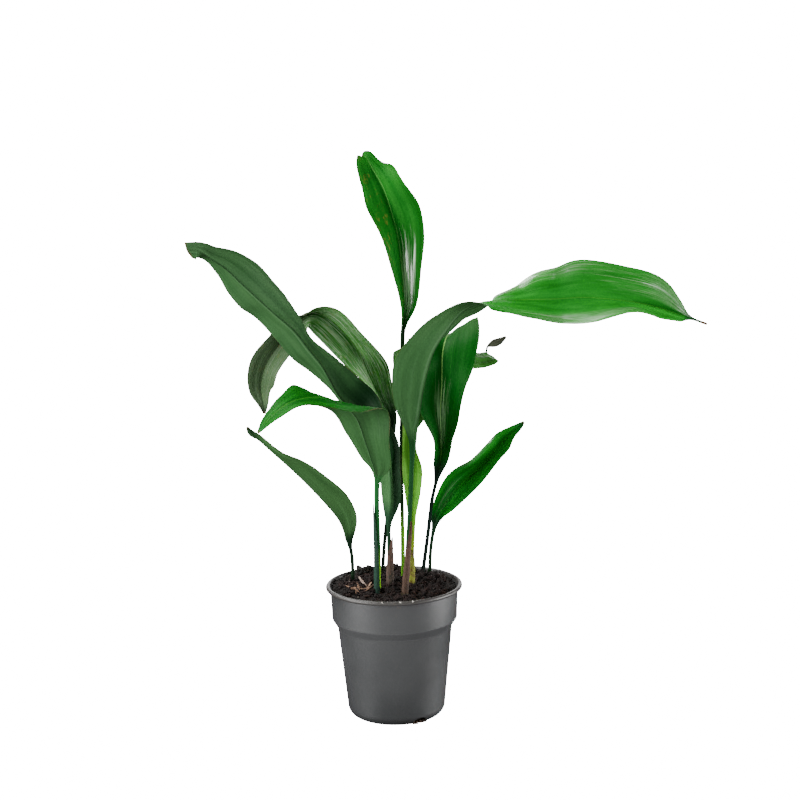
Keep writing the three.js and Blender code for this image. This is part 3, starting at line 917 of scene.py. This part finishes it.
# pairs are a radius and a height, in mm
pot = {
    "height": 137,
    "rim": 70,
    "bead": 2.2,
    "wall": 1.4,
    "floor": 1.8,
    "underCollar": (65.4, 132.6),
    "collarFoot": (64.2, 102),
    "shoulder": (58.8, 93.5),
    "foot": (50.3, 10),
    "flat": 41,
    "sides": 192,
    "footSteps": 12,
    "beadStep": 15,
    "shoulderRound": 1.2,
    "collarRound": 0.8,
    "sharpAngle": 40,
    "drainCount": 3,
    "drainFirstAngle": -61,
    "drainWidth": 14,
    "drainHeight": 9,
    "drainRadius": 47.5,
    "drainMiddle": 4.2,
    "drainDepth": 16,
    "drainTilt": -45,
    "drainSides": 32,
}
potLook = {
    "cloud": (18, 3),
    "dust": (240, 4, 0.65),
    "streaks": (300, 2),
    "streakStretch": 0.12,
    "body": ((51, 52, 53), (56, 57, 58)),
    # the shoulder grey is painted light for the band that faces down
    "shoulder": (66, 67, 68),
    "grime": (76, 66, 56),
    "grimeHeights": (0.112, 0.136),
    "grimeShares": (0.12, 0.55),
    "rimDirt": (52, 46, 40),
    "rimDirtHeights": (0.1325, 0.1345),
    "roughness": (0.4, 0.52),
    "bump": (0.12, 0.0003),
}


# the round of the foot, outside or a wall's width inside
def cornerPoints(inset):
    width = pot["foot"][0] - pot["flat"]
    points = []
    for step in range(pot["footSteps"] + 1):
        angle = math.radians(90 / pot["footSteps"] * step)
        across = pot["flat"] + (width - inset) * math.sin(angle)
        points.append((across, inset + (pot["foot"][1] - inset) * (1 - math.cos(angle))))
    return points


# a small round in place of a sharp corner
def rounded(before, corner, following, radius, steps=4):
    a, c, b = Vector(before), Vector(corner), Vector(following)
    start = c + (a - c).normalized() * radius
    end = c + (b - c).normalized() * radius
    points = []
    for step in range(steps + 1):
        t = step / steps
        points.append(tuple(start * (1 - t) ** 2 + c * 2 * t * (1 - t) + end * t * t))
    return points


def potProfile():
    bead = pot["bead"]
    across, height = pot["rim"] - bead, pot["height"] - bead
    beadPoints = []
    for degrees in range(225, 541, pot["beadStep"]):
        angle = math.radians(degrees)
        beadPoints.append((across + bead * math.cos(angle), height + bead * math.sin(angle)))
    inside = [(radius - pot["wall"], level) for radius, level in (
        pot["underCollar"], pot["collarFoot"], pot["shoulder"])]
    return [
        (0, 0),
        *cornerPoints(0),
        *rounded(pot["foot"], pot["shoulder"], pot["collarFoot"], pot["shoulderRound"]),
        *rounded(pot["shoulder"], pot["collarFoot"], pot["underCollar"], pot["collarRound"]),
        pot["underCollar"],
        *beadPoints,
        *inside,
        *reversed(cornerPoints(pot["floor"])),
        (0, pot["floor"]),
    ]


def potMesh():
    shell = bmesh.new()
    sides = pot["sides"]
    rings = [addRing(shell, across, sides if across else 1, height) for across, height in potProfile()]
    for low, high in zip(rings, rings[1:]):
        if len(low) == len(high):
            bridge(shell, high, low)
            continue
        for side in range(sides):
            following = (side + 1) % sides
            if len(low) == 1:
                shell.faces.new((low[0], high[following], high[side]))
            else:
                shell.faces.new((low[side], low[following], high[0]))
    return meshFrom(shell, "pot_shell")


def cutDrainSlots(piece):
    cutter = bmesh.new()
    radius = pot["drainHeight"] / 2 * mm
    for slot in range(pot["drainCount"]):
        angle = math.radians(pot["drainFirstAngle"] + 90 + slot * 360 / pot["drainCount"])
        place = (
            Matrix.Rotation(angle, 4, "Z")
            @ Matrix.Translation(Vector((0, -pot["drainRadius"], pot["drainMiddle"])) * mm)
            @ Matrix.Rotation(math.radians(pot["drainTilt"]), 4, "X")
            @ Matrix.Diagonal((pot["drainWidth"] / pot["drainHeight"], 1, 1, 1))
        )
        bmesh.ops.create_cone(
            cutter, cap_ends=True, segments=pot["drainSides"], radius1=radius, radius2=radius,
            depth=pot["drainDepth"] * mm, matrix=place,
        )
    tool = addObject("drain_cutter", meshFrom(cutter, "drain_cutter"))
    cut = piece.modifiers.new("drain", "BOOLEAN")
    cut.object = tool
    cut.solver = "EXACT"
    keepResult(piece)
    bpy.data.objects.remove(tool)


def potMaterial():
    material, tree, shader = newMaterial("grey_plastic")
    place = objectPlace(tree)
    cloud = noiseAt(place, *potLook["cloud"])
    dust = noiseAt(place, *potLook["dust"])
    height = addNode(tree, "ShaderNodeSeparateXYZ", {"Vector": place}).outputs["Z"]
    body = mixColour(spread(cloud, 0.35, 0.65), *potLook["body"])
    # painted light: the shoulder band faces down and is painted a lighter grey so that it looks as bright
    # as the body
    step = band(height, pot["shoulder"][1] * mm, pot["collarFoot"][1] * mm, mm)
    body = mixColour(step, body, potLook["shoulder"])
    nearRim = spread(height, *potLook["grimeHeights"])
    grime = times(spread(dust, 0.58, 0.72), spread(nearRim, 0, 1, *potLook["grimeShares"]))
    body = mixColour(grime, body, potLook["grime"])
    body = mixColour(spread(height, *potLook["rimDirtHeights"], 0, 0.5), body, potLook["rimDirt"])
    stretch = {"Vector": place, "Scale": (1, 1, potLook["streakStretch"])}
    streaks = noiseAt(addNode(tree, "ShaderNodeMapping", stretch).outputs[0], *potLook["streaks"])
    fill(shader, {
        "Base Color": body,
        "Roughness": spread(cloud, 0.3, 0.7, *potLook["roughness"]),
        "Normal": bumpFrom(plus(streaks, times(dust, 0.6)), *potLook["bump"]),
    })
    return material


potPiece = addObject("pot_moulded", potMesh())
cutDrainSlots(potPiece)
potPiece.data.materials.clear()
potPiece.data.materials.append(potMaterial())
potPiece.data.shade_smooth()
potPiece.data.set_sharp_from_angle(angle=math.radians(pot["sharpAngle"]))
handOver(potPiece, "pot", "pot")
print("pot made")

soil = {
    "middle": 135.6,
    "crown": 2.6,
    "slope": 0.045,
    "lump": 0.8,
    "gap": 0.35,
    "belowRim": 7,
    "rings": 90,
    "sides": 260,
    "patchRings": 40,
    "patchSides": 120,
    "bumps": ((1.8, 7), (1.3, 3), (0.4, 1.1)),
}
soilLook = {
    "coarse": (120, 4, 0.65),
    "grains": (900, 3, 0.7),
    "roughness": (0.7, 0.98),
    "gleam": 0.25,
    "bump": (0.9, 0.0009),
}


# a gentle crown that drops to the front, with long and short waves on it
def soilHeight(x, y):
    reach = math.hypot(x, y) / pot["shoulder"][0]
    coarse = math.sin(x / 5.1 + 1.3) * math.cos(y / 4.3) + math.sin((x + y) / 7.7 + 0.6)
    fine = math.sin(x / 2.3 + y / 3.1) * math.cos(y / 2.6 - x / 3.7)
    crown = soil["middle"] - soil["crown"] * reach * reach + soil["slope"] * y
    return crown + soil["lump"] * (coarse + fine) / 2


def roughHeight(x, y):
    place = Vector((x, y, 0))
    return soilHeight(x, y) + sum(height * noise.noise(place / width) for height, width in soil["bumps"])


def innerRadius(height):
    low, high = pot["collarFoot"], pot["underCollar"]
    share = (height - low[1]) / (high[1] - low[1])
    return low[0] + (high[0] - low[0]) * share - pot["wall"]


def soilMesh():
    block = bmesh.new()
    top = innerRadius(pot["height"] - soil["belowRim"]) - soil["gap"]
    rings, sides = soil["rings"], soil["sides"]
    middle = block.verts.new((0, 0, roughHeight(0, 0) * mm))
    rows = [addRing(block, top * ring / rings, sides, roughHeight) for ring in range(1, rings + 1)]
    for across, height in (pot["collarFoot"], pot["shoulder"]):
        rows.append(addRing(block, across - pot["wall"] - soil["gap"], sides, height))
    lowest = pot["floor"] + soil["gap"]
    for across, height in reversed(cornerPoints(lowest)):
        rows.append(addRing(block, across, sides, height))
    bottom = block.verts.new((0, 0, lowest * mm))
    for side in range(sides):
        following = (side + 1) % sides
        block.faces.new((middle, rows[0][side], rows[0][following]))
        block.faces.new((bottom, rows[-1][following], rows[-1][side]))
    for low, high in zip(rows, rows[1:]):
        bridge(block, low, high)
    mesh = meshFrom(block, "soil_block")
    mesh.shade_smooth()
    return mesh


def soilMaterial(name, dark, light, warm):
    material, tree, shader = newMaterial(name)
    place = objectPlace(tree)
    coarse = noiseAt(place, *soilLook["coarse"])
    grains = noiseAt(place, *soilLook["grains"])
    body = mixColour(spread(coarse, 0.38, 0.62), dark, light)
    fill(shader, {
        "Base Color": mixColour(spread(grains, 0.56, 0.7, 0, 0.6), body, warm),
        "Roughness": spread(grains, 0.3, 0.7, *soilLook["roughness"]),
        "Specular IOR Level": soilLook["gleam"],
        "Normal": bumpFrom(plus(coarse, times(grains, 0.6)), *soilLook["bump"]),
    })
    return material


soilPiece = addObject("soil_bed", soilMesh())
soilPiece.data.materials.append(soilMaterial("dark_soil", (9, 5, 3), (22, 13, 10), (38, 24, 18)))
handOver(soilPiece, "soil", "soil")


# a small irregular lump, longer or flatter by its three half sizes
def lumpObject(name, sizes, detail, roughness, seed):
    lump = bmesh.new()
    bmesh.ops.create_icosphere(lump, subdivisions=detail, radius=1)
    for vert in lump.verts:
        swell = 1 + roughness * noise.noise(vert.co * 1.4 + Vector((seed, 0, 0)))
        vert.co = Vector([c * swell * size * mm for c, size in zip(vert.co, sizes)])
    return addObject(name, meshFrom(lump, name))


# a thin bent root or fibre as a small four-sided tube
def fibreObject(name, length, seed):
    draw = random.Random(seed)
    strand = bmesh.new()
    steps, corners, radius = fibreLook["steps"], fibreLook["corners"], fibreLook["radius"]
    bend = draw.uniform(-0.6, 0.6)
    rings = []
    for step in range(steps + 1):
        t = step / steps
        x = (t - 0.5) * length
        y = bend * length * (t - 0.5) ** 2 + draw.uniform(-0.05, 0.05) * length * 0.3
        z = draw.uniform(0, 0.06) * length + 0.12 * length * t * (1 - t)
        ring = []
        for corner in range(corners):
            angle = 2 * math.pi / corners * corner
            point = Vector((x, y + radius * math.cos(angle), z + radius * math.sin(angle)))
            ring.append(strand.verts.new(point * mm))
        rings.append(ring)
    for low, high in zip(rings, rings[1:]):
        bridge(strand, high, low)
    strand.faces.new(list(reversed(rings[0])))
    strand.faces.new(rings[-1])
    bmesh.ops.recalc_face_normals(strand, faces=strand.faces)
    return addObject(name, meshFrom(strand, name))


# scatters one of several small pieces over a patch, each turned and sized by chance
def scatterTree(name, shapes):
    tree, given = newGroup(name, {
        "count per area": "Float",
        "smallest": "Float",
        "largest": "Float",
        "tilt": "Float",
        "sink": "Float",
        "seed": "Int",
    })
    tilt = given["tilt"]
    lean = times(tilt, -1.0)
    points = addNode(tree, "GeometryNodeDistributePointsOnFaces", {
        "Mesh": given[0],
        "Density": given["count per area"],
        "Seed": given["seed"],
    })
    gathered = addNode(tree, "GeometryNodeGeometryToInstance", {})
    for shape in shapes:
        info = addNode(tree, "GeometryNodeObjectInfo", {"Object": shape, "As Instance": True})
        fill(gathered, {0: info.outputs["Geometry"]})
    pickInputs = {4: 0, 5: len(shapes) - 1, "Seed": given["seed"]}
    turnInputs = {0: joinXYZ(tree, lean, lean, -math.pi), 1: joinXYZ(tree, tilt, tilt, math.pi)}
    sizeInputs = {2: given["smallest"], 3: given["largest"]}
    pick = addNode(tree, "FunctionNodeRandomValue", pickInputs, data_type="INT")
    turn = addNode(tree, "FunctionNodeRandomValue", turnInputs, data_type="FLOAT_VECTOR")
    size = addNode(tree, "FunctionNodeRandomValue", sizeInputs, data_type="FLOAT")
    placed = addNode(tree, "GeometryNodeInstanceOnPoints", {
        "Points": points.outputs[0],
        "Instance": gathered.outputs[0],
        "Pick Instance": True,
        "Instance Index": pick.outputs[2],
        "Rotation": turn.outputs[0],
        "Scale": size.outputs[1],
    })
    sunk = addNode(tree, "GeometryNodeTranslateInstances", {
        "Instances": placed.outputs[0],
        "Translation": joinXYZ(tree, 0, 0, times(given["sink"], -1.0)),
        "Local Space": False,
    })
    finishGroup(tree, given, sunk.outputs[0])
    return tree


# the top of the soil as an open patch that the loose bits are scattered on
def soilPatch(name, middle, reach):
    patch = bmesh.new()
    rings = soil["patchRings"]
    grid = [addRing(patch, reach * ring / rings, soil["patchSides"], roughHeight, middle)
            for ring in range(1, rings + 1)]
    for low, high in zip(grid, grid[1:]):
        bridge(patch, low, high)
    return addObject(name, meshFrom(patch, name))


def scatter(name, shapes, bits, seed):
    patch = soilPatch(name, bits.get("middle", (0, 0)), bits["reach"])
    area = math.pi * (bits["reach"] * mm) ** 2
    smallest, largest = bits["sizes"]
    grow(patch, scatterTree(name + "_scatter", shapes), {
        "count per area": bits["count"] / area,
        "smallest": smallest,
        "largest": largest,
        "tilt": bits.get("tilt", 3.0),
        "sink": bits["sink"] * mm,
        "seed": seed,
        "Material": bits["material"],
    })
    handOver(patch, "soil")
    for shape in shapes:
        bpy.data.objects.remove(shape)


# shapes hold the three half sizes of a lump in mm and how rough it is, and detail how fine it is
loose = {
    "clods": {
        "shapes": [
            ((5.2, 3.8, 3.0), 0.5), ((4.0, 3.4, 2.6), 0.6), ((6.4, 3.0, 2.4), 0.5), ((3.2, 3.0, 2.4), 0.7)],
        "detail": 3, "reach": 56.0, "count": 240, "sizes": (0.45, 1.15), "sink": 0.5,
        "material": soilMaterial("clods", (10, 5, 4), (30, 16, 13), (46, 28, 23)),
    },
    "rim_clods": {
        "shapes": [((4.2, 3.2, 2.8), 0.9), ((3.2, 2.8, 2.6), 1.1)],
        "detail": 3, "middle": (-33, 47), "reach": 6.0, "count": 7, "sizes": (0.8, 1.3), "sink": -1.6,
        "material": soilMaterial("rim_clods", (12, 12, 10), (26, 26, 20), (40, 36, 26)),
    },
    "back_clods": {
        "shapes": [((3.4, 3.0, 3.6), 0.9)],
        "detail": 3, "middle": (-1, 58), "reach": 3.0, "count": 3, "sizes": (0.9, 1.2), "sink": -1.6,
        "material": soilMaterial("back_clods", (12, 11, 9), (26, 24, 18), (36, 32, 24)),
    },
    "crumbs": {
        "shapes": [
            ((1, 0.85, 0.75), 0.9), ((0.8, 0.7, 0.9), 1.1), ((1.3, 0.8, 0.6), 0.8), ((0.6, 0.6, 0.5), 0.7)],
        "detail": 1, "reach": 61.0, "count": 450, "sizes": (0.5, 1.4), "sink": 0.2,
        "material": soilMaterial("crumbs", (11, 6, 5), (28, 17, 13), (52, 34, 27)),
    },
    "bark_chips": {
        "shapes": [((4.8, 2.4, 0.9), 0.7), ((3.6, 2.6, 0.9), 0.9), ((6.0, 1.6, 0.9), 0.8)],
        "detail": 2, "reach": 55.0, "count": 80, "sizes": (0.5, 1.2), "tilt": 0.7, "sink": -0.6,
        "material": soilMaterial("bark", (24, 13, 11), (46, 28, 23), (64, 43, 34)),
    },
    "straw": {
        "shapes": [((5.5, 1.9, 0.9), 0.4), ((7.5, 1.2, 0.7), 0.4), ((3.5, 1.8, 0.9), 0.7)],
        "detail": 2, "middle": (-32, -10), "reach": 14.0, "count": 11, "sizes": (0.45, 0.95),
        "tilt": 0.8, "sink": -2.2,
        "material": soilMaterial("straw", (88, 63, 48), (132, 104, 84), (164, 138, 114)),
    },
    "white_specks": {
        "shapes": [((0.7, 0.6, 0.6), 0.7), ((0.9, 0.7, 0.6), 0.8)],
        "detail": 1, "reach": 60.0, "count": 12, "sizes": (0.5, 1.2), "sink": -1.2,
        "material": soilMaterial("perlite", (150, 142, 130), (196, 190, 180), (130, 116, 98)),
    },
}
looseFirstSeed = 5
lumpSeedStep = 7.3
for number, (name, bits) in enumerate(loose.items()):
    shapes = [lumpObject(f"{name}_{i}", sizes, bits["detail"], rough, i * lumpSeedStep + number)
              for i, (sizes, rough) in enumerate(bits["shapes"])]
    scatter(name, shapes, bits, looseFirstSeed + number)

fibreLook = {
    "lengths": (5, 8, 11, 14), "radius": 0.16, "steps": 9, "corners": 4, "firstSeed": 30, "seed": 20,
    "reach": 57.0, "count": 90, "sizes": (0.6, 1.2), "tilt": 0.35, "sink": -1.2,
    "material": soilMaterial("fibre", (34, 22, 15), (58, 40, 27), (80, 58, 40)),
}
fibres = [fibreObject(f"fibre_{i}", length, fibreLook["firstSeed"] + i)
          for i, length in enumerate(fibreLook["lengths"])]
scatter("fibres", fibres, fibreLook, fibreLook["seed"])

# specks left on the rim, crumbs in the drainage slot at the front, and straw that sticks out of the soil
strays = {
    "rim_specks": {
        "places": [(-11.5, -68.2, 136.6), (6.0, -68.9, 136.6), (18.5, -66.4, 136.6), (48, 50, 136.4)],
        "sizes": (0.9, 0.7, 0.6),
        "rough": 0.8,
        "material": soilMaterial("rim_perlite", (190, 184, 174), (226, 222, 214), (160, 150, 134)),
    },
    "slot_crumbs": {
        "places": [
            (17, -43, 2.6), (20, -42.2, 2.2), (23.5, -40.2, 2.6), (26.5, -38.4, 2.4), (28.8, -36.8, 3)],
        "sizes": (2.0, 1.6, 1.7),
        "rough": 0.8,
        "material": soilMaterial("slot_soil", (30, 20, 16), (62, 44, 34), (96, 72, 56)),
    },
    "straw_stick": {
        "places": [(-32.0, -7.0, 141.2)],
        "leans": [(-10, 12, 10.5)],
        "sizes": (9.0, 1.4, 0.5),
        "rough": 0.3,
        "material": soilMaterial("straw_stick", (142, 120, 108), (186, 166, 154), (206, 190, 180)),
    },
    "straw_bits": {
        "places": [(-24.8, -12.0, 139.0), (-32.5, -16.5, 136.2)],
        "leans": [(4.5, 2, 6), (-11, -7, 0.5)],
        "sizes": (4.5, 1.2, 0.5),
        "rough": 0.3,
        "material": soilMaterial("straw_bits", (110, 84, 66), (152, 124, 102), (176, 152, 130)),
    },
}
straySeedStep = 3.1
strayDetail = 2
for name, stray in strays.items():
    places = stray["places"]
    leans = stray.get("leans", [(1, 0, 0)] * len(places))
    gathered = bmesh.new()
    for number, (place, lean) in enumerate(zip(places, leans)):
        seed = number * straySeedStep
        lump = lumpObject(f"{name}_{number}", stray["sizes"], strayDetail, stray["rough"], seed)
        turn = Vector(lean).to_track_quat("X", "Z").to_matrix().to_4x4()
        lump.data.transform(Matrix.Translation(Vector(place) * mm) @ turn)
        gathered.from_mesh(lump.data)
        bpy.data.objects.remove(lump)
    mesh = meshFrom(gathered, name)
    mesh.materials.append(stray["material"])
    handOver(addObject(name, mesh), "soil")
print("soil made")

# each softbox has its azimuth from the front, positive to the right, and its height angle, in
# degrees, then its distance and size in metres and its power
studio = {
    "floorSize": 60,
    "floorGlow": 22.0,
    "floorGrey": 0.9,
    "backdrop": 22.0,
    "middle": (0, 0, 0.28),
    "softboxes": {
        "key": (-105, 50, 2.2, 1.5, 95),
        "above": (0, 80, 2.0, 1.2, 16),
        "front": (10, 0, 2.4, 1.0, 15),
        "left": (-62, 4, 2.2, 1.5, 118),
        "right": (88, 0, 2.2, 1.5, 135),
        "behind": (175, 6, 2.4, 1.8, 40),
    },
    "table": {"place": (-0.1, -0.9, 0.001), "size": 1.6, "power": 8},
}


def addLamp(name, place, aim, size, power):
    light = bpy.data.lights.new(name, "AREA")
    light.size = size
    light.energy = power
    lamp = bpy.data.objects.new(name, light)
    lamp.location = place
    lamp.rotation_euler = (aim - place).to_track_quat("-Z", "Y").to_euler()
    bpy.context.scene.collection.objects.link(lamp)


def makeFloor():
    bpy.ops.mesh.primitive_plane_add(size=studio["floorSize"])
    floor = bpy.context.object
    floor.name = "floor"
    material, tree, shader = newMaterial("pale_floor")
    grey = studio["floorGrey"]
    fill(shader, {
        "Base Color": (grey, grey, grey, 1),
        "Roughness": 0.9,
        "Emission Color": (1, 1, 1, 1),
        "Emission Strength": studio["floorGlow"],
    })
    floor.data.materials.append(material)
    floor.visible_diffuse = False
    floor.visible_glossy = False


def makeLamps():
    middle = Vector(studio["middle"])
    for name, (azimuth, rise, distance, size, power) in studio["softboxes"].items():
        azimuth, rise = math.radians(azimuth), math.radians(rise)
        level = math.cos(rise)
        away = Vector((math.sin(azimuth) * level, -math.cos(azimuth) * level, math.sin(rise)))
        addLamp(name, middle + away * distance, middle, size, power)
    table = studio["table"]
    place = Vector(table["place"])
    addLamp("table", place, place + Vector((0, 0, 1)), table["size"], table["power"])


# the softboxes light the plant, and the white backdrop is only seen
def makeBackdrop():
    world = bpy.data.worlds.new("studio_air")
    world.use_nodes = True
    fill(world.node_tree.nodes["Background"], {"Color": (1, 1, 1, 1), "Strength": studio["backdrop"]})
    world.cycles_visibility.diffuse = False
    world.cycles_visibility.glossy = False
    bpy.context.scene.world = world


makeFloor()
makeLamps()
makeBackdrop()
print("studio set")
